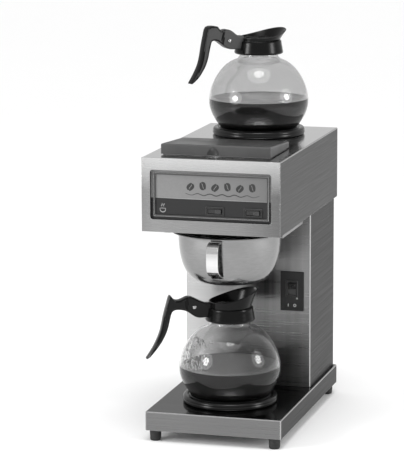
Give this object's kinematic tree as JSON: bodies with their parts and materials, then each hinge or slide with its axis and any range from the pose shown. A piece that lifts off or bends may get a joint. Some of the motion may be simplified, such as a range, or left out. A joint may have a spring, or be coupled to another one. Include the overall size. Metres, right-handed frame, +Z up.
{
  "type": "coffee brewer",
  "caption": "Pour-over commercial coffee brewer: steel C-shaped cabinet with lidded water basin, brew basket on rails, rocker switches and two warmers carrying glass decanters.",
  "frame": {"origin": "on the counter, at the middle of the box around the whole brewer with both decanters on their warmers; the cabinet's own middle plane is X = +6.7 mm", "axes": "+Z up, front of the brewer faces -Y, +X to the right of someone facing the front"},
  "size_m": [0.2264, 0.386, 0.6123],
  "materials": {
    "cabinet_steel": "brushed stainless sheet",
    "inner_steel": "dull stainless",
    "bright_steel": "polished stainless",
    "screw_steel": "zinc plated",
    "black_enamel": "glossy black enamel",
    "black_plastic": "moulded black plastic",
    "lid_plastic": "moulded dark grey plastic",
    "rocker_plastic": "moulded dark plastic",
    "front_panel": "two-tone printed film on a plate",
    "foot_rubber": "black rubber",
    "decanter_glass": "clear heat-proof glass",
    "silicone": "translucent silicone"
  },
  "bodies": {
    "cabinet": {"base_bottom_plate": "inner_steel", "base_shell": "cabinet_steel", "basket_rail_left": "cabinet_steel", "basket_rail_right": "cabinet_steel", "brew_switch_housing": "black_plastic", "column_front": "cabinet_steel", "cord_gland": "black_plastic", "fill_tube": "silicone", "foot_front_left": "foot_rubber", "foot_front_right": "foot_rubber", "foot_rear_left": "foot_rubber", "foot_rear_right": "foot_rubber", "graphics_panel": "front_panel", "head_floor": "cabinet_steel", "head_front_frame": "cabinet_steel", "head_shell": "cabinet_steel", "lid_hinge_bracket": "inner_steel", "lid_hinge_pin": "inner_steel", "lower_warmer_heater": "inner_steel", "lower_warmer_plate": "black_enamel", "lower_warmer_ring": "black_enamel", "lower_warmer_switch_housing": "black_plastic", "outlet_tube": "silicone", "panel_trim": "bright_steel", "pour_basin": "inner_steel", "rear_panel": "cabinet_steel", "rear_screw_lower_left": "screw_steel", "rear_screw_lower_right": "screw_steel", "rear_screw_upper_left": "screw_steel", "rear_screw_upper_right": "screw_steel", "spray_nut": "inner_steel", "sprayhead": "bright_steel", "switch_plate": "black_plastic", "tank_gasket": "silicone", "tank_heater": "inner_steel", "tank_lid": "inner_steel", "tank_stand": "inner_steel", "thermostat_probe": "inner_steel", "upper_warmer_heater": "inner_steel", "upper_warmer_plate": "black_enamel", "upper_warmer_ring": "black_enamel", "upper_warmer_switch_housing": "black_plastic", "water_tank": "inner_steel"},
    "lid": {"pour_lid": "lid_plastic"},
    "basket": {"basket_bowl": "bright_steel", "basket_wire_rack": "bright_steel", "basket_handle": "bright_steel"},
    "lower_decanter": {"lower_decanter_glass": "decanter_glass", "lower_decanter_collar": "black_plastic", "lower_decanter_spout": "black_plastic", "lower_decanter_handle": "black_plastic", "lower_decanter_screw": "bright_steel"},
    "upper_decanter": {"upper_decanter_glass": "decanter_glass", "upper_decanter_collar": "black_plastic", "upper_decanter_spout": "black_plastic", "upper_decanter_handle": "black_plastic", "upper_decanter_screw": "bright_steel"},
    "brew_switch": {"brew_rocker": "rocker_plastic"},
    "lower_warmer_switch": {"lower_warmer_rocker": "rocker_plastic"},
    "upper_warmer_switch": {"upper_warmer_rocker": "rocker_plastic"}
  },
  "joints": [
    {"name": "lid_hinge", "type": "hinge", "parent": "cabinet", "child": "lid", "pos_m": [0.0067, -0.0465, 0.444], "axis": [-1, 0, 0], "range_deg": [0, 95]},
    {"name": "basket_slide", "type": "slide", "parent": "cabinet", "child": "basket", "axis": [0, -1, 0], "range_m": [0, 0.21]},
    {"name": "lower_decanter_slide", "type": "slide", "parent": "cabinet", "child": "lower_decanter", "axis": [0, -0.9996, 0.03], "range_m": [0, 0.2]},
    {"name": "upper_decanter_lift", "type": "slide", "parent": "cabinet", "child": "upper_decanter", "axis": [0, 0, 1], "range_m": [0, 0.15]},
    {"name": "brew_rocker_tilt", "type": "hinge", "parent": "cabinet", "child": "brew_switch", "pos_m": [0.0784, 0.0237, 0.2045], "axis": [1, 0, 0], "range_deg": [-16, 0]},
    {"name": "lower_warmer_rocker_tilt", "type": "hinge", "parent": "cabinet", "child": "lower_warmer_switch", "pos_m": [0.0125, -0.1858, 0.3605], "axis": [0, 0, -1], "range_deg": [-16, 0]},
    {"name": "upper_warmer_rocker_tilt", "type": "hinge", "parent": "cabinet", "child": "upper_warmer_switch", "pos_m": [0.0712, -0.1858, 0.3605], "axis": [0, 0, -1], "range_deg": [-16, 0]}
  ]
}
